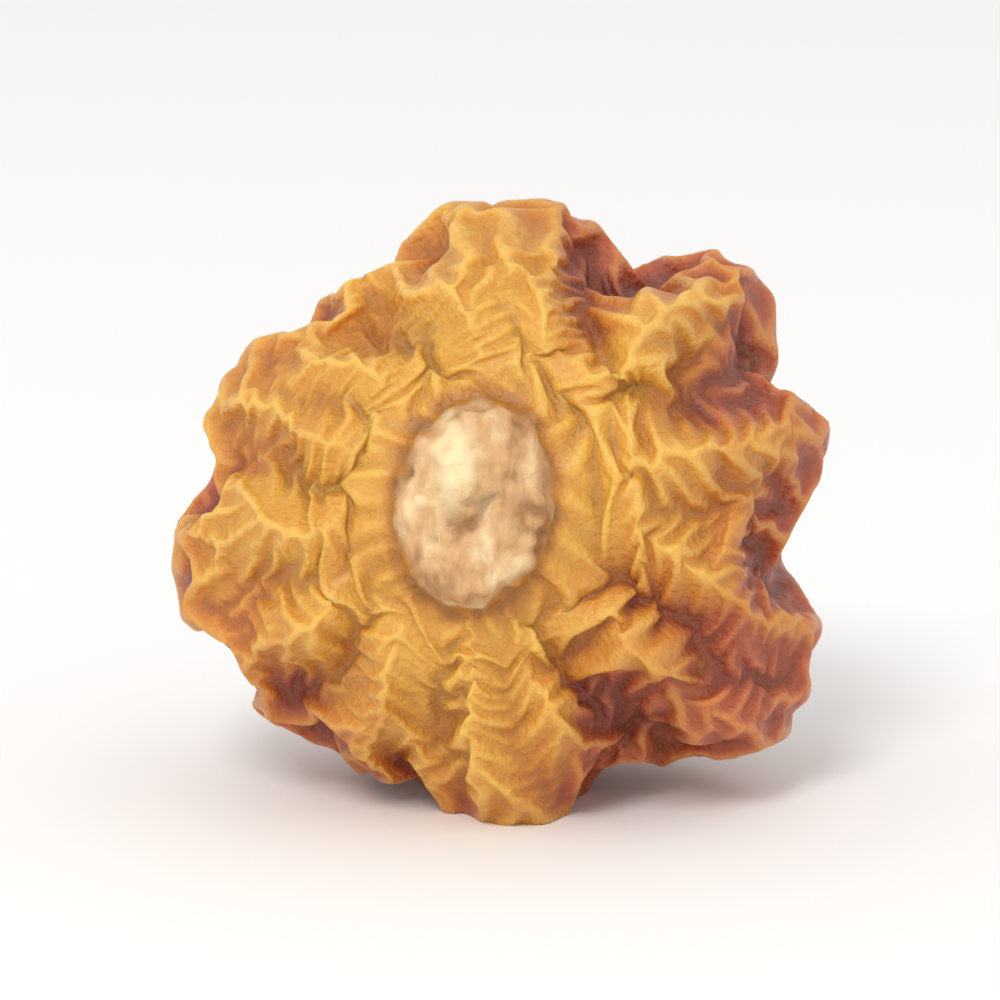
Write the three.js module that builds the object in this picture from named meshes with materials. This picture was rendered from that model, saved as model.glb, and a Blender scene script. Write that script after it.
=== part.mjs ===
// A dried physalis berry: one shrivelled fruit lying on its side, its calyx scar to the front.
// Millimetres, +Z up, +X to the right, -Y to the front. The origin is on the ground, under the
// middle of the berry's bounding box.
//
// The skin is worked out in the berry's own frame, where +Z leaves the fruit through the scar,
// +X points right and +Y up. A polar angle is counted from the scar, an azimuth anticlockwise
// from the right as the scar is looked at. It starts as a rounded five-sided body with creases
// and hollows, and then buckles into ridges, as a skin does that is too large for dried flesh.

import * as THREE from 'three';
import { mergeVertices } from 'three/addons/utils/BufferGeometryUtils.js';

// Radius round the stem axis, in mm, at azimuths in degrees.
const GIRTH = [
  [0, 6.1], [20, 6.8], [32, 6.5], [46, 7.4], [66, 6.55], [88, 6.6], [108, 6.15], [130, 6.15],
  [150, 6.35], [166, 6.35], [184, 6.5], [205, 6.4], [232, 5.75], [248, 5.4], [262, 6],
  [276, 6.3], [294, 5.5], [306, 5.5], [320, 6.7], [338, 6.6], [350, 6.2],
];
const STEM_HALF = 5.1; // mm from the widest girth to the scar
const BLOSSOM_HALF = 6.3; // mm from the widest girth to the blossom end
const STEM_PITCH = 12; // degrees that the scar looks up from level

// Calyx scar: a raised oval button of cork in a shallow round hollow. The moat round the button
// and the dimple in its middle are placed by the scar's reach, which is 1 on the button's rim.
const SCAR = { x: -0.47, y: 0.35, halfWidth: 1.55, halfHeight: 2.25, turn: -8, rise: 0.5 };
const SCAR_HOLLOW = { depth: 0.45, radius: 2.6 };
const MOAT = { depth: 0.2, reach: 1.17, width: 0.15 };
const DIMPLE = { depth: 0.12, width: 0.45 };

// Collapsed blossom end at the back.
const BLOSSOM = { x: -0.4, y: 0.7, halfWidth: 2.3, halfHeight: 1.8, depth: 2.6 };

// Creases that run from the scar over the shoulder: azimuth by the scar and at the rim, in
// degrees, depth and half width in mm, and the polar angle where the crease ends.
const CREASES = [
  [36, 38, 0.4, 0.4, 58], [64, 67, 0.6, 0.5, 105], [84, 80, 0.5, 0.35, 60],
  [108, 121, 0.9, 0.42, 72], [140, 147, 0.7, 0.4, 62], [168, 165, 0.75, 0.42, 66],
  [200, 196, 0.7, 0.42, 66], [228, 221, 0.7, 0.42, 66], [250, 257, 0.7, 0.42, 75],
  [276, 281, 0.7, 0.4, 66], [300, 304, 0.7, 0.45, 75], [331, 330, 0.65, 0.42, 70],
  [364, 369, 0.2, 0.4, 60],
];

// Sunken places, or raised ones where the depth is negative: azimuth and polar angle in degrees,
// depth, and half width round and along the axis in mm, along a ball as wide as the berry.
const BALL_RADIUS = 6.9;
const HOLLOWS = [
  [318, 55, 0.8, 1, 0.9], [293, 40, 0.4, 0.9, 0.9], [357, 58, -0.35, 1.9, 0.5],
  [36, 52, 0.3, 0.6, 0.6], [67, 80, 0.5, 0.8, 0.9], [150, 122, 0.6, 1.6, 2.2],
  [28, 122, 0.5, 1.5, 2], [255, 118, 0.4, 1.5, 2], [92, 124, 0.6, 1.7, 2.2],
  [205, 126, 0.6, 1.4, 2], [330, 128, 0.5, 1.3, 2],
];

const DEEPEST_CUT = 1.3; // mm, which creases and hollows together come close to

// Low lumps of the whole body.
const LUMP = { size: 6.5, height: 0.14, seed: 11 };

// Skin: its spare size round and along the axis, as a share of the flesh that it covers, the
// part of this that the golden cap and the blossom end lack, and the distance from one wrinkle
// to the next in mm.
const SPARE_ROUND = 0.16;
const SPARE_ALONG = 0.1;
const CALM = { cap: 0.5, blossom: 0.3 };
const WRINKLE = 1.9;
const RIPPLE = { height: 0.05, seed: 13 }; // the slight unevenness that wrinkles grow from
const SKIN_DIVISIONS = 22;
const RELAX_STEPS = 300;

const FLAT_SPOT = 0.65; // mm that the underside is pressed flat
const SKIN_COLOUR = 0xd98a2b;

const rad = THREE.MathUtils.degToRad;
const smooth = ( x, from, to ) => THREE.MathUtils.smoothstep( x, from, to );

/** Seeded random numbers from 0 to 1 (Park-Miller). */
function draws( seed ) {

  let state = seed;

  return () => {

    state = ( state * 16807 ) % 2147483647;
    return state / 2147483647;

  };

}

/** Smooth noise of about unit height: a sum of plane waves of nearly one length. */
function waves( seed, length, spread = 0.3, count = 24 ) {

  const draw = draws( seed );
  const list = [];

  for ( let i = 0; i < count; i ++ ) {

    const z = 2 * draw() - 1;
    const turn = 2 * Math.PI * draw();
    const flat = Math.sqrt( 1 - z * z );
    const direction = new THREE.Vector3( flat * Math.cos( turn ), flat * Math.sin( turn ), z );
    const own = length * ( 1 + spread * ( 2 * draw() - 1 ) );
    list.push( { wave: direction.multiplyScalar( 2 * Math.PI / own ), phase: 2 * Math.PI * draw() } );

  }

  const height = Math.sqrt( 2 / count );
  return ( p ) => height * list.reduce( ( sum, w ) => sum + Math.cos( w.wave.dot( p ) + w.phase ), 0 );

}

/** Value at an azimuth of a closed table, on a smooth curve through its points. */
function onRing( table, azimuth ) {

  const angle = THREE.MathUtils.euclideanModulo( azimuth, 360 );
  const count = table.length;
  let i = count - 1;
  while ( table[ i ][ 0 ] > angle ) i --;
  const at = ( k ) => table[ ( k + count ) % count ][ 1 ];
  const end = i + 1 < count ? table[ i + 1 ][ 0 ] : table[ 0 ][ 0 ] + 360;
  const t = ( angle - table[ i ][ 0 ] ) / ( end - table[ i ][ 0 ] );
  const [ a, b, c, d ] = [ at( i - 1 ), at( i ), at( i + 1 ), at( i + 2 ) ];
  return b + 0.5 * t * ( c - a + t * ( 2 * a - 5 * b + 4 * c - d + t * ( 3 * ( b - c ) + d - a ) ) );

}

/** Difference of two azimuths, from -180 to 180 degrees. */
const turnBetween = ( a, b ) => THREE.MathUtils.euclideanModulo( a - b + 180, 360 ) - 180;

/** Point of the plump body under a direction from its middle. */
function bodyPoint( direction ) {

  const azimuth = THREE.MathUtils.radToDeg( Math.atan2( direction.y, direction.x ) );
  const polar = THREE.MathUtils.radToDeg( Math.acos( THREE.MathUtils.clamp( direction.z, - 1, 1 ) ) );
  const girth = onRing( GIRTH, azimuth ) * ( 1 - 0.1 * smooth( polar, 95, 175 ) );
  const radius = girth * Math.sin( rad( polar ) ) ** 0.9;
  const front = Math.max( direction.z, 0 ) ** 2;
  const x = radius * Math.cos( rad( azimuth ) ) + SCAR.x * front;
  const y = radius * Math.sin( rad( azimuth ) ) + SCAR.y * front;
  let z = Math.sign( direction.z ) * Math.abs( direction.z ) ** 0.92;

  if ( direction.z > 0 ) {

    z = z * STEM_HALF - SCAR_HOLLOW.depth * Math.exp( - ( ( radius / SCAR_HOLLOW.radius ) ** 2 ) );

  } else {

    const across = ( x - BLOSSOM.x ) / BLOSSOM.halfWidth;
    const up = ( y - BLOSSOM.y ) / BLOSSOM.halfHeight;
    z = z * BLOSSOM_HALF + BLOSSOM.depth * Math.exp( - ( ( across ** 2 + up ** 2 ) ) );

  }

  return { point: new THREE.Vector3( x, y, z ), azimuth, polar };

}

/** Depth of the creases and hollows at a place on the skin. */
function cutDepth( azimuth, polar, reach ) {

  let depth = 0;

  for ( const [ start, rim, deep, width, end ] of CREASES ) {

    const line = start + ( rim - start ) * smooth( polar, 15, 70 ) + 3 * Math.sin( 0.11 * polar + start );
    const gap = rad( turnBetween( azimuth, line ) ) * Math.max( reach, 1.2 );
    const wide = width * ( 1 + 0.6 * smooth( polar, 40, 90 ) );
    const valley = Math.exp( 0.5 - Math.sqrt( ( gap / wide ) ** 2 + 0.25 ) );
    depth += deep * valley * ( 1 - smooth( polar, end - 20, end + 20 ) );

  }

  for ( const [ middle, tilt, deep, round, along ] of HOLLOWS ) {

    const across = rad( turnBetween( azimuth, middle ) ) * BALL_RADIUS * Math.sin( rad( polar ) );
    const down = rad( polar - tilt ) * BALL_RADIUS;
    depth += deep * Math.exp( - ( ( across / round ) ** 2 ) - ( down / along ) ** 2 );

  }

  return DEEPEST_CUT * Math.tanh( depth / DEEPEST_CUT );

}

/** How far a place is from the middle of the scar, with 1 on the rim of its button. */
function scarReach( point ) {

  if ( point.z < 0 ) return 9;
  const turned = new THREE.Vector2( point.x - SCAR.x, point.y - SCAR.y );
  turned.rotateAround( new THREE.Vector2(), - rad( SCAR.turn ) );
  return Math.hypot( turned.x / SCAR.halfWidth, turned.y / SCAR.halfHeight );

}

/** Flesh under the skin: the body with its lumps, creases and hollows, plain under the scar. */
function makeFlesh( geometry ) {

  const position = geometry.attributes.position;
  const places = [];

  for ( let i = 0; i < position.count; i ++ ) {

    const place = bodyPoint( new THREE.Vector3().fromBufferAttribute( position, i ).normalize() );
    position.setXYZ( i, ...place.point );
    places.push( place );

  }

  geometry.computeVertexNormals();
  const normals = vectorsOf( geometry.attributes.normal );
  const lumps = waves( LUMP.seed, LUMP.size );

  places.forEach( ( place, i ) => {

    const { point, azimuth, polar } = place;
    const reach = Math.hypot( point.x - SCAR.x, point.y - SCAR.y );
    place.scar = scarReach( point );
    const lump = LUMP.height * lumps( point ) * smooth( polar, 20, 75 );
    const height = lump - cutDepth( azimuth, polar, reach );
    point.addScaledVector( normals[ i ], height * smooth( place.scar, 1, 1.4 ) );

  } );

  return { places, normals };

}

/** Neighbours of each vertex, from the triangles. */
function ringsOf( geometry ) {

  const rings = Array.from( { length: geometry.attributes.position.count }, () => new Set() );
  const index = geometry.index.array;

  for ( let i = 0; i < index.length; i += 3 ) {

    const [ a, b, c ] = index.slice( i, i + 3 );
    rings[ a ].add( b ).add( c );
    rings[ b ].add( c ).add( a );
    rings[ c ].add( a ).add( b );

  }

  return rings.map( ( ring ) => [ ...ring ] );

}

const vectorsOf = ( attribute ) => Array.from( { length: attribute.count }, ( _, i ) =>
  new THREE.Vector3().fromBufferAttribute( attribute, i ) );

/** Mean of the vectors in a list that a ring of neighbours picks. */
function mean( list, ring ) {

  const sum = new THREE.Vector3();
  ring.forEach( ( j ) => sum.add( list[ j ] ) );
  return sum.divideScalar( ring.length );

}

/**
 * Skin that is too large for the flesh, settled into wrinkles. Each edge is a spring that wants
 * its grown length, each vertex resists bending, and the flesh holds the skin like a soft bed.
 * Bending against the bed sets the distance from one wrinkle to the next.
 */
function buckle( { places, normals }, rings ) {

  const BED = 0.02; // stiffness of the bed, where a spring's is 1
  const LIFTED = 0.35; // share of it that holds skin which has come off the flesh
  const CLING = 0.4; // share of it that keeps skin from sliding along the flesh
  const STEP = 0.55;
  const DRAG = 0.92;

  const flesh = places.map( ( place ) => place.point );
  const springs = [];
  let edge = 0;

  rings.forEach( ( ring, i ) => {

    const round = new THREE.Vector3( - normals[ i ].y, normals[ i ].x, 0 ).normalize();
    const { scar, polar } = places[ i ];
    const calm = CALM.cap * ( 1 - smooth( polar, 60, 95 ) ) + CALM.blossom * smooth( polar, 160, 175 );
    const free = smooth( scar, 1, 2.2 ) * ( 1 - calm );
    const spareAlong = SPARE_ALONG * smooth( polar, 15, 50 );

    springs.push( ring.map( ( j ) => {

      const along = flesh[ j ].clone().sub( flesh[ i ] );
      const length = along.length();
      const share = ( along.dot( round ) / length ) ** 2;
      edge += length / ring.length / rings.length;
      return length * ( 1 + free * ( SPARE_ROUND * share + spareAlong * ( 1 - share ) ) );

    } ) );

  } );

  const bend = BED / ( ( Math.PI * edge / WRINKLE ) ** 4 );
  const ripple = waves( RIPPLE.seed, 1.3 * WRINKLE, 0.5, 64 );
  const skin = flesh.map( ( point, i ) =>
    point.clone().addScaledVector( normals[ i ], RIPPLE.height * ripple( point ) ) );
  const speed = flesh.map( () => new THREE.Vector3() );
  const curl = flesh.map( () => new THREE.Vector3() );

  for ( let round = 0; round < RELAX_STEPS; round ++ ) {

    rings.forEach( ( ring, i ) => curl[ i ].copy( mean( skin, ring ) ).sub( skin[ i ] ) );
    let fastest = 0;

    rings.forEach( ( ring, i ) => {

      const force = mean( curl, ring ).sub( curl[ i ] ).multiplyScalar( - bend );

      ring.forEach( ( j, k ) => {

        const pull = skin[ j ].clone().sub( skin[ i ] );
        force.addScaledVector( pull, 1 - springs[ i ][ k ] / pull.length() );

      } );

      const off = skin[ i ].clone().sub( flesh[ i ] );
      const height = off.dot( normals[ i ] );
      off.addScaledVector( normals[ i ], - height );
      force.addScaledVector( normals[ i ], - BED * ( height > 0 ? LIFTED : 1 ) * height );
      force.addScaledVector( off, - BED * CLING );
      speed[ i ].addScaledVector( force, STEP ).multiplyScalar( DRAG );
      fastest = Math.max( fastest, speed[ i ].length() );

    } );

    const brake = Math.min( 1, 0.3 * edge / ( STEP * fastest ) );
    skin.forEach( ( point, i ) => point.addScaledVector( speed[ i ].multiplyScalar( brake ), STEP ) );

  }

  return skin;

}

/** Height of the scar's button, the moat round it and the dimple in its middle. */
function scarHeight( scar ) {

  const button = SCAR.rise * ( 1 - smooth( scar, 0.84, 1.03 ) );
  const moat = MOAT.depth * Math.exp( - ( ( ( scar - MOAT.reach ) / MOAT.width ) ** 2 ) );
  const dimple = DIMPLE.depth * Math.exp( - ( ( scar / DIMPLE.width ) ** 2 ) );
  return button - moat - dimple;

}

/** The berry on its side, pressed flat where it rests, over the middle of its box. */
function makeBerry() {

  const lattice = new THREE.IcosahedronGeometry( 1, SKIN_DIVISIONS );
  lattice.deleteAttribute( 'normal' );
  lattice.deleteAttribute( 'uv' );
  const geometry = mergeVertices( lattice, 1e-4 );
  const flesh = makeFlesh( geometry );
  const skin = buckle( flesh, ringsOf( geometry ) );
  const { places, normals } = flesh;
  skin.forEach( ( point, i ) => point.addScaledVector( normals[ i ], scarHeight( places[ i ].scar ) ) );
  geometry.attributes.position.copyArray( skin.flatMap( ( point ) => point.toArray() ) );
  geometry.rotateX( rad( 90 - STEM_PITCH ) );

  geometry.computeBoundingBox();
  const ground = geometry.boundingBox.min.z + FLAT_SPOT;
  const position = geometry.attributes.position;
  for ( let i = 0; i < position.count; i ++ ) position.setZ( i, Math.max( position.getZ( i ), ground ) );

  const middle = geometry.boundingBox.getCenter( new THREE.Vector3() );
  geometry.translate( - middle.x, - middle.y, - ground );
  geometry.computeVertexNormals();
  return geometry;

}

const skinMaterial = new THREE.MeshStandardMaterial( { color: SKIN_COLOUR, roughness: 0.45, metalness: 0 } );
const berry = new THREE.Mesh( makeBerry(), skinMaterial );
berry.name = 'berry';

const group = new THREE.Group();
group.add( berry );

export default group;
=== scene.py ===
"""Looks of a dried physalis berry: its wrinkled skin with the corky calyx scar, and the stage
with its light."""

import math

import bpy
import numpy as np
from bpy.props import FloatProperty, FloatVectorProperty, PointerProperty
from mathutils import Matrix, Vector


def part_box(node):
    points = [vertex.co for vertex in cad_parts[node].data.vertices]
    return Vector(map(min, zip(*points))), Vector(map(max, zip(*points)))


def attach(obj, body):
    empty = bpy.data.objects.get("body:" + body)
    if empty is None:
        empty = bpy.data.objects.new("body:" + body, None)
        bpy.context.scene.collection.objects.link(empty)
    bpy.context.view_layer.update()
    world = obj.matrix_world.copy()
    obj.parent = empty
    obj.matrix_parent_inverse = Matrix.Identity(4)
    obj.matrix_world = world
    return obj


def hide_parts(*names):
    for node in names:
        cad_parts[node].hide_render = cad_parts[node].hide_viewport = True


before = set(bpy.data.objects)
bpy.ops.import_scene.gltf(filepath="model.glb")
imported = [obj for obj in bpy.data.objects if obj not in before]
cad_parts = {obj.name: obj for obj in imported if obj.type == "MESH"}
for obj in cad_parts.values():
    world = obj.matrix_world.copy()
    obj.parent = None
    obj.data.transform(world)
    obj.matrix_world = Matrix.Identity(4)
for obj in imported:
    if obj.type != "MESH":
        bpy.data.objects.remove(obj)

bl_info = {
    "name": "Dried Physalis Berry",
    "version": (1, 0, 0),
    "blender": (4, 5, 0),
    "location": "View3D > Sidebar > Physalis",
    "description": "Dresses the plain berry with fine wrinkles, a corky scar and a dried skin",
    "category": "Object",
}

MM = 0.001
BERRY_NODE = "berry"

# Depth in mm under the plain berry at which the skin starts, since folds rise more than they
# sink.
SUNK = 0.1

# Where the stem axis crosses the widest girth, in mm in the part's frame, and how far the
# scar looks up from level.
MIDDLE = np.array([0.09, -0.48, 5.93])
STEM_PITCH = 12.0

# Calyx scar, in mm and degrees as it is looked at: its middle, half sizes and turn, and the
# middle and half width that it has on the plain berry.
SCAR_MIDDLE = (-0.64, 0.53)
SCAR_HALF = (1.7, 2.25)
SCAR_TURN = -8.0
PLAIN_SCAR_MIDDLE = (-0.47, 0.35)
PLAIN_SCAR_HALF_WIDTH = 1.55

# Reaches from the scar's middle, with 1 on its rim: where the slide from the plain place fades
# out, and the one that stands for the far side of the berry, where there is no scar.
SLIDE_FADES = (1.1, 2.4)
FAR = 9.0

# Torn cork of the scar: heights and depths in mm of the raised rim, the pit in the middle, the
# groove outside, the fibres and the grain.
RIM_HEIGHT = 0.12
PIT_DEPTH = 0.13
GROOVE_DEPTH = 0.12
FIBRE_HEIGHT = 0.04
GRAIN_HEIGHT = 0.045

# How the skin buckles: how stiffly the flesh holds it, the share of that where it has lifted
# off and the share along the surface, the pace and the drag of its settling, and the share of
# an edge that a point may move at once.
BED = 0.02
LIFTED = 0.35
CLING = 0.15
PACE = 0.55
DRAG = 0.92
STRIDE = 0.3

# Polar angles in degrees, counted from the scar, over which the cap's calmer skin ends, the
# folds that run out from the scar give way to folds that run all ways, and skin starts to be
# spare along the stem axis.
CALM_ENDS = (60, 95)
FOLDS_TURN = (45, 100)
LOOSE_ALONG = (15, 50)

# Rounds of blurring that even the skin out closely, then nearly, then widely, one after the
# other, and the heights in mm that the masks span: an edge over the close skin, a ridge over
# the near one, and a fold under the wide one.
CLOSE_ROUNDS, NEAR_ROUNDS, WIDE_ROUNDS = 12, 48, 400
EDGE_RANGE = 0.12
RIDGE_RANGE = 0.26
FOLD_DEPTH = 0.35

# Polar angle, counted from the scar, where the golden cap turns red-brown, at azimuths
# counted anticlockwise from the right.
CAP_EDGE = (
    (0, 66), (25, 66), (40, 68), (52, 82), (64, 76), (74, 74), (84, 90), (120, 98), (180, 92),
    (208, 80), (225, 88), (262, 84), (282, 66), (296, 47), (318, 45), (335, 52),
)

# How the cap's edge strays from that, in degrees: by itself, down on ridges and back in folds
# for each mm of their height or depth, up to a limit in mm. The colours change over the blend.
CAP_WANDER = 5
CAP_ON_RIDGES, RIDGE_LIMIT = 60, 0.15
CAP_IN_FOLDS, FOLD_LIMIT = 18, 0.5
CAP_BLEND = 40

# Stage in widths of the berry: half the board, the soft box's side and its place from the
# berry's middle, and how near and far the camera sees; and the camera's sensor in mm.
BOARD_HALF = 40
SOFT_BOX = 10
SOFT_BOX_PLACE = (-7, -21, 22)
CLIP = (0.1, 200)
SENSOR = 36


def linear(hex_colour):
    """Linear red, green and blue of an sRGB hex colour."""
    parts = np.array([int(hex_colour[i : i + 2], 16) for i in (1, 3, 5)]) / 255
    low = parts / 12.92
    high = ((parts + 0.055) / 1.055) ** 2.4
    return tuple(np.where(parts <= 0.04045, low, high).tolist())


def colour(name, description, hex_colour):
    """A colour that the user can change, with an sRGB hex default."""
    return FloatVectorProperty(
        name=name,
        description=description,
        default=linear(hex_colour),
        size=3,
        min=0,
        max=1,
        subtype="COLOR",
    )


class PhysalisSkin(bpy.types.PropertyGroup):
    """Sizes and colours of the skin."""

    fold_spacing: FloatProperty(
        name="Fold spacing",
        description="Distance from one small fold to the next",
        default=0.95 * MM,
        min=0.5 * MM,
        max=2 * MM,
        precision=5,
        unit="LENGTH",
    )
    line_spacing: FloatProperty(
        name="Line spacing",
        description="Distance from one fine line to the next",
        default=0.5 * MM,
        min=0.3 * MM,
        max=1 * MM,
        precision=5,
        unit="LENGTH",
    )
    spare_round: FloatProperty(
        name="Spare skin round",
        description="Share by which the skin is too long round the stem axis",
        default=0.12,
        min=0,
        max=0.4,
        subtype="FACTOR",
    )
    spare_along: FloatProperty(
        name="Spare skin along",
        description="Share by which the skin is too long from the scar to the blossom end",
        default=0.08,
        min=0,
        max=0.4,
        subtype="FACTOR",
    )
    # Painted glow and highlight on the cap's ridges and edges, partly painted glow on the yellower
    # skin round the scar, and the cap's own lighter clouds.
    crest_glow_and_cloud: colour("Golden glow and clouds", "Painted glow on the cap's ridges, and its lighter clouds", "#E8B757")
    cap: colour("Ochre skin", "Faces of the cap", "#D79A38")
    # Painted shade in the cap's valleys and low places, and where the skin dips into the groove
    # round the scar.
    cap_fold_shade: colour("Ochre fold shade", "Painted shade in the cap's valleys and by the scar's groove", "#8E541D")
    russet: colour("Russet stains", "Overripe blotches of the cap", "#C0702C")
    # Painted glow and highlight on the ridges and edges of the sides and the back, and their own
    # lighter clouds.
    ember_glow_and_cloud: colour("Salmon glow and clouds", "Painted glow on the ridges of the sides and back, and lighter clouds", "#C8744A")
    rind: colour("Red-brown skin", "Faces of the sides and the back", "#AB5432")
    # Painted shade in the valleys and low places of the sides and the back; also their own dark
    # flecks.
    rind_shade_and_fleck: colour("Dark fold shade and flecks", "Painted shade in the valleys of the sides and back, and dark flecks", "#723021")
    cork: colour("Cork", "Face of the calyx scar", "#D2A776")
    # Pale streaks of the cork, and a painted highlight up to the left of the scar's middle.
    cork_pale_and_highlight: colour("Pale cork", "Pale streaks of the scar, and its painted highlight", "#F6E2B4")
    # Dark streaks of the cork, and painted shade in its pits and low places and down the rim
    # towards the groove.
    cork_dark_and_shade: colour("Dark cork", "Dark streaks of the scar, and painted shade in its pits and groove", "#8A5A30")


class PhysalisStage(bpy.types.PropertyGroup):
    """Floor, camera and light."""

    lens: FloatProperty(
        name="Lens",
        description="Focal length on a 36 mm sensor",
        default=200,
        min=35,
        max=400,
        unit="CAMERA",
    )
    share: FloatProperty(
        name="Share of the width",
        description="Part of the picture's width that the berry fills",
        default=0.64,
        min=0.1,
        max=0.95,
        subtype="FACTOR",
    )
    elevation: FloatProperty(
        name="Elevation",
        description="Angle of the view above level",
        default=math.radians(12),
        min=0,
        max=math.radians(89),
        subtype="ANGLE",
    )
    room: FloatProperty(
        name="Room light",
        description="Strength of the even light from all round",
        default=0.85,
        min=0,
        max=2,
    )
    key_power: FloatProperty(
        name="Key light",
        description="Power of the large soft light",
        default=0.85,
        min=0,
        unit="POWER",
    )


# ---- Skin --------------------------------------------------------------------------------


def step(x, start, end):
    """Smooth rise from 0 at start to 1 at end."""
    t = np.clip((x - start) / (end - start), 0, 1)
    return t * t * (3 - 2 * t)


def waves(points, length, seed, spread=0.3, count=24):
    """Smooth noise of about unit height: a sum of plane waves of nearly one length."""
    draw = np.random.default_rng(seed)
    way = draw.normal(size=(count, 3))
    way /= np.linalg.norm(way, axis=1, keepdims=True)
    own = length * (1 + spread * draw.uniform(-1, 1, count))
    phase = draw.uniform(0, 2 * np.pi, count)
    return np.cos(points @ (way * 2 * np.pi / own[:, None]).T + phase).sum(1) * math.sqrt(2 / count)


def welded_node(node):
    """Points in mm and triangles of a node's mesh, with the points that lie together made one."""
    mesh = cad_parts[node].data
    mesh.calc_loop_triangles()
    points = np.empty(len(mesh.vertices) * 3)
    mesh.vertices.foreach_get("co", points)
    triangles = np.empty(len(mesh.loop_triangles) * 3, np.int32)
    mesh.loop_triangles.foreach_get("vertices", triangles)
    points = points.reshape(-1, 3) / MM
    _, first, same = np.unique(np.round(points, 3), axis=0, return_index=True, return_inverse=True)
    triangles = same.reshape(-1)[triangles.reshape(-1, 3)]
    corners = [triangles[:, i] for i in range(3)]
    whole = (corners[0] != corners[1]) & (corners[1] != corners[2]) & (corners[2] != corners[0])
    return points[first], triangles[whole]


def finer(points, triangles):
    """One Loop subdivision: each triangle is cut into four, a new point lies three eighths of
    the way from each end of its edge and one eighth from each point across, and an old point
    moves towards the mean of its neighbours."""
    count, faces = len(points), len(triangles)
    edges = np.vstack([triangles[:, [0, 1]], triangles[:, [1, 2]], triangles[:, [2, 0]]])
    across = points[np.concatenate([triangles[:, 2], triangles[:, 0], triangles[:, 1]])]
    edge, which = np.unique(np.sort(edges, axis=1), axis=0, return_inverse=True)
    which = which.reshape(-1)
    far = np.stack([np.bincount(which, across[:, i], len(edge)) for i in range(3)], 1)
    middles = 0.375 * (points[edge[:, 0]] + points[edge[:, 1]]) + 0.125 * far
    near = np.stack([np.bincount(edges[:, 0], points[edges[:, 1], i], count) for i in range(3)], 1)
    valence = np.bincount(edges[:, 0], minlength=count)
    pull = (0.625 - (0.375 + 0.25 * np.cos(2 * np.pi / valence)) ** 2) / valence
    moved = points * (1 - valence * pull)[:, None] + near * pull[:, None]
    ab, bc, ca = (count + which[i * faces : (i + 1) * faces] for i in range(3))
    a, b, c = triangles.T
    cut = np.vstack([np.stack(t, 1) for t in ((a, ab, ca), (b, bc, ab), (c, ca, bc), (ab, bc, ca))])
    return np.vstack([moved, middles]), cut


def normals(points, triangles):
    """Unit normal of each point, from the triangles round it by their area."""
    a, b, c = (points[triangles[:, i]] for i in range(3))
    face = np.cross(b - a, c - a)
    total = sum(
        np.stack([np.bincount(corner, face[:, i], len(points)) for i in range(3)], 1)
        for corner in triangles.T
    )
    return total / np.maximum(np.linalg.norm(total, axis=1, keepdims=True), 1e-12)


def rings(triangles, count):
    """Table of each point's neighbours, filled up with the point itself, and which are real."""
    edges = np.vstack([triangles[:, [0, 1]], triangles[:, [1, 2]], triangles[:, [2, 0]]])
    edges = edges[np.argsort(edges[:, 0], kind="stable")]
    valence = np.bincount(edges[:, 0], minlength=count)
    place = np.arange(len(edges)) - np.repeat(np.cumsum(valence) - valence, valence)
    table = np.tile(np.arange(count)[:, None], (1, valence.max()))
    table[edges[:, 0], place] = edges[:, 1]
    return table, np.arange(valence.max())[None] < valence[:, None]


def blurred(values, table, rounds):
    """Values evened out by going half way to the neighbours' mean, round after round."""
    for _ in range(rounds):
        values = 0.5 * values + 0.5 * values[table].mean(1)
    return values


def buckled(flesh, triangles, spare_round, spare_along, spacing, ripple, rounds):
    """Skin that is too large for what it lies on, settled into wrinkles. Each edge is a spring
    that wants its grown length, each point resists bending, and the flesh holds the skin like a
    soft bed. Bending against the bed sets the distance from one wrinkle to the next: the
    stiffness is the bed's, divided by the fourth power of pi edges over the spacing."""
    table, real = rings(triangles, len(flesh))
    valence = real.sum(1)[:, None]
    normal = normals(flesh, triangles)
    pitch = math.radians(STEM_PITCH)
    around = np.cross((0, -math.cos(pitch), math.sin(pitch)), normal)
    around /= np.maximum(np.linalg.norm(around, axis=1, keepdims=True), 1e-6)
    span = flesh[table] - flesh[:, None]
    length = np.linalg.norm(span, axis=2)
    share = (np.einsum("nkc,nc->nk", span, around) / np.maximum(length, 1e-9)) ** 2
    length = length * (1 + spare_round[:, None] * share + spare_along[:, None] * (1 - share))
    edge = length[real].mean()
    bend = BED / (math.pi * edge / spacing) ** 4
    start = waves(flesh, 1.3 * spacing, seed=5, spread=0.5, count=64)
    skin = flesh + normal * (ripple * start)[:, None]
    speed = np.zeros_like(skin)
    for _ in range(rounds):
        span = skin[table] - skin[:, None]
        long = np.sqrt((span * span).sum(2)) + 1e-9
        force = np.einsum("nk,nkc->nc", (1 - length / long) * real, span)
        curl = span.sum(1) / valence
        spread = curl[table].sum(1) - curl * (table.shape[1] - valence)
        force -= bend * spread / valence - bend * curl
        off = skin - flesh
        height = np.einsum("nc,nc->n", off, normal)
        held = BED * np.where(height > 0, LIFTED, 1.0) * height
        force -= normal * held[:, None] + BED * CLING * (off - normal * height[:, None])
        speed = (speed + PACE * force) * DRAG
        fastest = PACE * math.sqrt((speed * speed).sum(1).max())
        skin = skin + speed * PACE * min(1.0, STRIDE * edge / fastest)
    return skin


def berry_frame(points):
    """The points as the scar is looked at: x right, y up and z out through the scar."""
    turn = math.radians(90 - STEM_PITCH)
    x, y, z = (points - MIDDLE).T
    up = y * math.cos(turn) + z * math.sin(turn)
    out = z * math.cos(turn) - y * math.sin(turn)
    return np.stack([x, up, out], 1)


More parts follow.
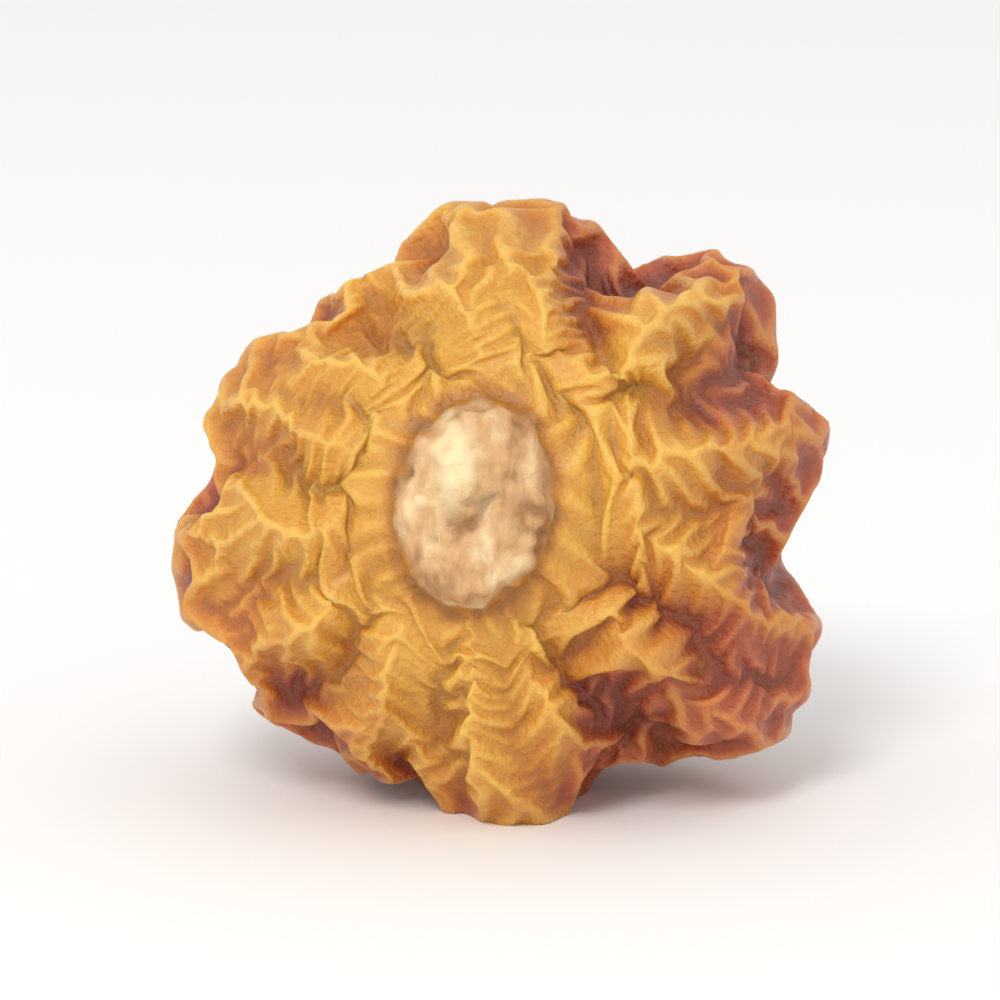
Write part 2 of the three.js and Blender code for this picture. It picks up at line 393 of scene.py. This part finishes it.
def polar_angles(own):
    """Azimuth and polar angle of points in the berry's own frame, in degrees."""
    azimuth = np.degrees(np.arctan2(own[:, 1], own[:, 0]))
    polar = np.degrees(np.arctan2(np.hypot(own[:, 0], own[:, 1]), own[:, 2]))
    return azimuth, polar


def scar_place(own):
    """Place on the scar across and up, in its half sizes, and the reach from its middle, with 1
    on the rim."""
    turn = math.radians(SCAR_TURN)
    x, y = own[:, 0] - SCAR_MIDDLE[0], own[:, 1] - SCAR_MIDDLE[1]
    across = (x * math.cos(turn) + y * math.sin(turn)) / SCAR_HALF[0]
    up = (y * math.cos(turn) - x * math.sin(turn)) / SCAR_HALF[1]
    return across, up, np.where(own[:, 2] > 0, np.hypot(across, up), FAR)


def widened_scar(points):
    """The points with the scar's button stretched to its width and slid to its middle. The
    slide fades out over the skin round it."""
    own = berry_frame(points)
    share = 1 - step(scar_place(own)[2], *SLIDE_FADES)
    stretch = (SCAR_HALF[0] / PLAIN_SCAR_HALF_WIDTH - 1) * (own[:, 0] - PLAIN_SCAR_MIDDLE[0])
    right = share * (stretch + SCAR_MIDDLE[0] - PLAIN_SCAR_MIDDLE[0])
    up = share * (SCAR_MIDDLE[1] - PLAIN_SCAR_MIDDLE[1])
    turn = math.radians(90 - STEM_PITCH)
    return points + np.stack([right, up * math.cos(turn), up * math.sin(turn)], 1)


def scar_relief(own):
    """Height of the torn cork on the scar, in mm: a ragged raised rim with a groove outside it,
    fibres that run out from the middle, and a narrow pit where the stem's bundle broke off.
    Places and widths on the scar are in its half sizes."""
    across, up, reach = scar_place(own)
    on = 1 - step(reach, 0.9, 1.05)
    angle = np.arctan2(up, across)
    torn = waves(np.stack([np.cos(angle), np.sin(angle), 0.3 * reach], 1), 0.5, seed=61)
    grain = waves(own, 0.45, seed=62)
    rim = np.exp(-((reach - 0.82 - 0.04 * torn) / 0.09) ** 2)
    pit = np.exp(-((across - 0.05) / 0.15) ** 2 - ((up + 0.05) / 0.3) ** 2)
    groove = GROOVE_DEPTH * np.exp(-((reach - 1.06) / 0.06) ** 2)
    fibres = FIBRE_HEIGHT * torn * step(reach, 0.15, 0.6)
    return on * (fibres + GRAIN_HEIGHT * grain + RIM_HEIGHT * rim - PIT_DEPTH * pit) - groove


def skin_surface(looks):
    """Points in mm, triangles and masks of the finished skin. The plain berry is sunk a little
    and cut finer, buckles into small folds, is cut finer again and buckles into fine lines. Near
    the scar more skin is spare round the stem axis and less along it, so folds run out from it."""
    points, triangles = welded_node(BERRY_NODE)
    points = widened_scar(points - SUNK * normals(points, triangles))

    # For the folds and the lines: their spacing, how much calmer the cap is, the reach at which
    # the skin is as loose as elsewhere, the height in mm of the ripple that starts them, and the
    # rounds in which they settle.
    for spacing, calm, loose, ripple, rounds in (
        (looks.fold_spacing, 0.5, 2.2, 0.03, 140),
        (looks.line_spacing, 0.0, 1.08, 0.015, 90),
    ):
        points, triangles = finer(points, triangles)
        own = berry_frame(points)
        _, polar = polar_angles(own)
        _, _, reach = scar_place(own)
        free = step(reach, 1.0, loose) * (1 - calm * (1 - step(polar, *CALM_ENDS)))
        behind = step(polar, *FOLDS_TURN)
        spare_round = looks.spare_round * free * (1.3 - 0.3 * behind)
        spare_along = looks.spare_along * free * (0.55 + 0.45 * behind) * step(polar, *LOOSE_ALONG)
        points = buckled(points, triangles, spare_round, spare_along, spacing / MM, ripple, rounds)
    points += normals(points, triangles) * scar_relief(berry_frame(points))[:, None]
    points[:, 2] = np.maximum(points[:, 2], 0)
    return points, triangles, skin_masks(points, triangles)


def over(points, base, triangles):
    """Height of points over a base surface, along its normals."""
    return np.einsum("nc,nc->n", points - base, normals(base, triangles))


def skin_masks(points, triangles):
    """Masks that the material reads. Edge is the height over the skin evened out over about a
    quarter of a millimetre, ridge the same over half a millimetre, and fold the depth under a
    wider mean; the material paints glow and highlight on edges and ridges, and shade in folds and
    low places. Cap passes a half where the golden part round the scar ends, which is further
    down on the ridges. Reach is 1 on the rim of the scar, and the last mask is 1 where a
    highlight is painted on the cork, up to the left of its middle."""
    table, _ = rings(triangles, len(points))
    close = blurred(points, table, CLOSE_ROUNDS)
    near = blurred(close, table, NEAR_ROUNDS)
    wide = blurred(near, table, WIDE_ROUNDS)
    rise = over(points, near, triangles)
    dip = -over(near, wide, triangles)
    own = berry_frame(points)
    azimuth, polar = polar_angles(own)
    angles, edges = np.array(CAP_EDGE, float).T
    edge = np.interp(azimuth, angles, edges, period=360) + CAP_WANDER * waves(own, 3, seed=71)
    on_ridges = CAP_ON_RIDGES * np.clip(rise, -RIDGE_LIMIT, RIDGE_LIMIT)
    edge += on_ridges - CAP_IN_FOLDS * np.clip(dip, -FOLD_LIMIT, FOLD_LIMIT)
    across, up, reach = scar_place(own)
    return {
        "edge": np.clip(0.5 + over(points, close, triangles) / EDGE_RANGE, 0, 1),
        "ridge": np.clip(0.5 + rise / RIDGE_RANGE, 0, 1),
        "fold": step(dip, 0, FOLD_DEPTH),
        "cap": 0.5 + (edge - polar) / CAP_BLEND,
        "reach": reach + 0.04 * waves(own, 0.7, seed=72),
        # Where a highlight is painted on the cork, up to the left of its middle.
        "cork_highlight": np.exp(-(((across + 0.3) / 0.28) ** 2) - ((up - 0.35) / 0.5) ** 2),
    }


def mesh_object(name, points, triangles, masks):
    """Smooth-shaded object of triangles, with a value on each point for each mask."""
    mesh = bpy.data.meshes.new(name)
    mesh.vertices.add(len(points))
    mesh.vertices.foreach_set("co", (points * MM).astype(np.float32).ravel())
    mesh.loops.add(triangles.size)
    mesh.loops.foreach_set("vertex_index", triangles.astype(np.int32).ravel())
    mesh.polygons.add(len(triangles))
    mesh.polygons.foreach_set("loop_start", np.arange(0, triangles.size, 3, dtype=np.int32))
    mesh.polygons.foreach_set("use_smooth", np.ones(len(triangles), bool))
    for mask, values in masks.items():
        layer = mesh.attributes.new(mask, "FLOAT", "POINT")
        layer.data.foreach_set("value", values.astype(np.float32))
    mesh.update(calc_edges=True)
    obj = bpy.data.objects.new(name, mesh)
    bpy.context.scene.collection.objects.link(obj)
    return obj


# ---- Materials ---------------------------------------------------------------------------


def add(tree, kind, settings=None, inputs=None):
    """Adds a shader node with its settings; an input is a plain value or another node's output."""
    node = tree.nodes.new("ShaderNode" + kind)
    for key, value in (settings or {}).items():
        setattr(node, key, value)
    for key, value in (inputs or {}).items():
        if isinstance(value, bpy.types.NodeSocket):
            tree.links.new(value, node.inputs[key])
        else:
            node.inputs[key].default_value = value
    return node


def new_material(name):
    """A new material with its node tree and its Principled shader."""
    material = bpy.data.materials.new(name)
    material.use_nodes = True
    return material, material.node_tree, material.node_tree.nodes["Principled BSDF"]


def berry_material(looks):
    """Sun-dried fruit skin, shrunk tight over sticky flesh: light goes a millimetre into it, so
    thin crests glow golden while thick folds stay dark, which is also painted into its colour as
    painted glow and highlight on crests and painted shade in folds; its natural wax leaves a
    soft, uneven gloss. The scar is dry cork, pale, rough and fibrous, with a painted highlight
    up to the left and painted shade in its pits and towards its groove."""
    material, tree, shader = new_material("sun-dried berry skin")
    place = add(tree, "TexCoord").outputs["Object"]
    drawn = add(tree, "Mapping", None, {"Vector": place, "Scale": (1, 1, 0.35)}).outputs[0]
    mask = {
        name: add(tree, "Attribute", {"attribute_name": name}).outputs["Fac"]
        for name in ("edge", "ridge", "fold", "cap", "reach", "cork_highlight")
    }

    # Noises by the width of their patches in mm: overripe stains, cloudy skin, flecks, leathery
    # grain, and the cork's upright streaks.
    noise = {}
    for name, vector, width, detail in (
        ("stain", place, 2.4, 3.0),
        ("cloud", place, 0.9, 3.0),
        ("fleck", place, 0.25, 4.0),
        ("grain", place, 0.16, 3.0),
        ("streak", drawn, 0.6, 4.0),
    ):
        inputs = {"Vector": vector, "Scale": 1 / (width * MM), "Detail": detail}
        noise[name] = add(tree, "TexNoise", None, inputs).outputs["Fac"]

    # Noise breaks up the edge of what the masks bound: the mask, the noise and its share.
    broken = {}
    for name, by, amount in (
        ("edge", "fleck", 0.3),
        ("ridge", "fleck", 0.4),
        ("cap", "cloud", 0.5),
        ("reach", "fleck", 0.12),
    ):
        inputs = {0: noise[by], 1: amount, 2: mask[name]}
        broken[name] = add(tree, "Math", {"operation": "MULTIPLY_ADD"}, inputs).outputs[0]
    height, reach = broken["ridge"], broken["reach"]
    golden = add(tree, "MapRange", None, {0: broken["cap"], 1: 0.55, 2: 0.95}).outputs[0]
    corky = add(tree, "MapRange", None, {0: reach, 1: 1.07, 2: 1.0}).outputs[0]

    # Each surface is a colour with layers over it: what decides where the layer lies, the value
    # where it starts, the value where it is full, its share there, and its colour.
    surfaces = {
        "cap": (
            looks.cap,
            (noise["cloud"], 0.45, 0.7, 0.35, looks.crest_glow_and_cloud),
            # Painted glow on the cap's ridges and painted highlight on its sharpest edges.
            (height, 0.75, 1.25, 0.6, looks.crest_glow_and_cloud),
            (broken["edge"], 0.75, 1.1, 0.7, looks.crest_glow_and_cloud),
            # Painted shade in the cap's low places and folds.
            (height, 0.55, 0.2, 0.6, looks.cap_fold_shade),
            (mask["fold"], 0.1, 0.85, 0.75, looks.cap_fold_shade),
            (noise["stain"], 0.55, 0.68, 0.4, looks.russet),
            (broken["cap"], 1.55, 0.95, 0.65, looks.russet),
            (noise["fleck"], 0.5, 0.68, 0.3, looks.russet),
            # Lighter skin round the scar: yellower skin, partly painted glow.
            (reach, 2.7, 1.5, 0.2, looks.crest_glow_and_cloud),
            (reach, 1.4, 1.15, 0.4, looks.russet),
            # Painted shade where the skin dips into the groove round the scar.
            (reach, 1.2, 1.08, 0.45, looks.cap_fold_shade),
        ),
        "rind": (
            looks.rind,
            (noise["cloud"], 0.45, 0.7, 0.3, looks.ember_glow_and_cloud),
            # Painted glow on the ridges and painted highlight on the sharpest edges of the sides
            # and the back, golden on the very sharpest.
            (height, 0.8, 1.3, 0.5, looks.ember_glow_and_cloud),
            (broken["edge"], 0.75, 1.1, 0.7, looks.ember_glow_and_cloud),
            (broken["edge"], 1.0, 1.25, 0.6, looks.cap),
            # Painted shade in the low places and folds of the sides and the back.
            (height, 0.6, 0.25, 0.7, looks.rind_shade_and_fleck),
            (mask["fold"], 0.3, 1.0, 0.7, looks.rind_shade_and_fleck),
            (noise["stain"], 0.56, 0.7, 0.25, looks.russet),
            (noise["fleck"], 0.5, 0.68, 0.3, looks.rind_shade_and_fleck),
        ),
        "cork": (
            looks.cork,
            (noise["streak"], 0.5, 0.64, 0.6, looks.cork_pale_and_highlight),
            (noise["streak"], 0.47, 0.32, 0.7, looks.cork_dark_and_shade),
            # Painted highlight up to the left of the scar's middle.
            (mask["cork_highlight"], 0.2, 0.9, 0.85, looks.cork_pale_and_highlight),
            # Painted shade down the rim towards the groove, and in the cork's pits and low places.
            (reach, 0.88, 1.06, 0.5, looks.cork_dark_and_shade),
            (height, 0.6, 0.25, 0.65, looks.cork_dark_and_shade),
        ),
    }
    mix = {"data_type": "RGBA"}
    face = {}
    for name, (below, *layers) in surfaces.items():
        below = (*below, 1)
        for source, start, full, share, top in layers:
            share = add(tree, "MapRange", None, {0: source, 1: start, 2: full, 4: share}).outputs[0]
            below = add(tree, "Mix", mix, {0: share, 6: below, 7: (*top, 1)}).outputs[2]
        face[name] = below
    skin = add(tree, "Mix", mix, {0: golden, 6: face["rind"], 7: face["cap"]}).outputs[2]
    whole = add(tree, "Mix", mix, {0: corky, 6: skin, 7: face["cork"]}).outputs[2]
    tree.links.new(whole, shader.inputs["Base Color"])

    # Wax is worn and uneven; cork is dull.
    waxy = {0: noise["cloud"], 1: 0.35, 2: 0.7, 3: 0.32, 4: 0.5}
    gloss = add(tree, "MapRange", None, waxy).outputs[0]
    rough = add(tree, "Mix", {"data_type": "FLOAT"}, {0: corky, 2: gloss, 3: 0.8}).outputs[0]
    tree.links.new(rough, shader.inputs["Roughness"])

    # Leathery grain on the skin, and the cork's fibres and pits.
    relief = {0: corky, 2: noise["grain"], 3: noise["fleck"]}
    grain = add(tree, "Mix", {"data_type": "FLOAT"}, relief).outputs[0]
    bump = add(tree, "Bump", None, {"Height": grain, "Strength": 0.9, "Distance": 0.1 * MM})
    tree.links.new(bump.outputs[0], shader.inputs["Normal"])

    for name, value in (
        ("IOR", 1.45),
        ("Subsurface Weight", 0.35),
        ("Subsurface Radius", (1.0, 0.35, 0.1)),
        ("Subsurface Scale", 1.0 * MM),
        ("Coat Weight", 0.1),
        ("Coat Roughness", 0.3),
    ):
        shader.inputs[name].default_value = value
    return material


def floor_material():
    """Matt white board: even and dull, so the berry's shadow stays soft."""
    material, _, shader = new_material("matt white board")
    shader.inputs["Base Color"].default_value = (*linear("#F4F3F1"), 1)
    shader.inputs["Roughness"].default_value = 0.9
    return material


# ---- Operators ---------------------------------------------------------------------------


class PHYSALIS_OT_skin(bpy.types.Operator):
    """Makes the berry's finished skin over the plain one"""

    bl_idname = "physalis.skin"
    bl_label = "Berry"

    def execute(self, context):
        looks = context.scene.physalis_skin
        berry = mesh_object("berry_skin", *skin_surface(looks))
        berry.data.materials.append(berry_material(looks))
        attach(berry, "root")
        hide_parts(BERRY_NODE)
        return {"FINISHED"}


class PHYSALIS_OT_stage(bpy.types.Operator):
    """Makes the pale floor, the soft light and the camera"""

    bl_idname = "physalis.stage"
    bl_label = "Stage"

    def execute(self, context):
        stage = context.scene.physalis_stage
        low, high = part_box(BERRY_NODE)
        size = high - low
        middle = (low + high) / 2
        half = BOARD_HALF * size.x
        floor = bpy.data.meshes.new("floor")
        corners = [(-half, -half, 0), (half, -half, 0), (half, half, 0), (-half, half, 0)]
        floor.from_pydata(corners, [], [(0, 1, 2, 3)])
        floor.materials.append(floor_material())
        board = bpy.data.objects.new("floor", floor)
        context.scene.collection.objects.link(board)

        world = bpy.data.worlds.new("white room")
        world.use_nodes = True
        background = world.node_tree.nodes["Background"]
        background.inputs["Color"].default_value = (*linear("#FFFFFF"), 1)
        background.inputs["Strength"].default_value = stage.room
        context.scene.world = world

        # A wide soft box, up to the left in front.
        light = bpy.data.lights.new("key", "AREA")
        light.size = SOFT_BOX * size.x
        light.energy = stage.key_power
        lamp = bpy.data.objects.new("key", light)
        lamp.location = middle + Vector(SOFT_BOX_PLACE) * size.x
        lamp.rotation_euler = (middle - lamp.location).to_track_quat("-Z", "Y").to_euler()
        context.scene.collection.objects.link(lamp)

        camera = bpy.data.cameras.new("camera")
        camera.lens = stage.lens
        camera.sensor_width = SENSOR
        camera.clip_start = CLIP[0] * size.x
        camera.clip_end = CLIP[1] * size.x
        eye = bpy.data.objects.new("camera", camera)
        away = Vector((0, -math.cos(stage.elevation), math.sin(stage.elevation)))
        eye.location = middle + away * (size.x / stage.share * stage.lens / SENSOR)
        eye.rotation_euler = (-away).to_track_quat("-Z", "Y").to_euler()
        context.scene.collection.objects.link(eye)
        context.scene.camera = eye
        context.scene.view_settings.view_transform = "Standard"
        return {"FINISHED"}


class PHYSALIS_PT_panel(bpy.types.Panel):
    """Lists the berry's pieces and their settings"""

    bl_label = "Physalis Berry"
    bl_idname = "PHYSALIS_PT_panel"
    bl_space_type = "VIEW_3D"
    bl_region_type = "UI"
    bl_category = "Physalis"

    def draw(self, context):
        for settings, operator in (
            (context.scene.physalis_skin, PHYSALIS_OT_skin),
            (context.scene.physalis_stage, PHYSALIS_OT_stage),
        ):
            box = self.layout.box()
            for name in settings.__annotations__:
                box.prop(settings, name)
            box.operator(operator.bl_idname)


CLASSES = (PhysalisSkin, PhysalisStage, PHYSALIS_OT_skin, PHYSALIS_OT_stage, PHYSALIS_PT_panel)


def register():
    for cls in CLASSES:
        bpy.utils.register_class(cls)
    bpy.types.Scene.physalis_skin = PointerProperty(type=PhysalisSkin)
    bpy.types.Scene.physalis_stage = PointerProperty(type=PhysalisStage)


def unregister():
    del bpy.types.Scene.physalis_stage
    del bpy.types.Scene.physalis_skin
    for cls in reversed(CLASSES):
        bpy.utils.unregister_class(cls)


def main():
    """Dresses the frame: makes the berry's skin and the stage."""
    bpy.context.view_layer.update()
    register()
    bpy.ops.physalis.skin()
    bpy.ops.physalis.stage()


if __name__ == "__main__":
    main()
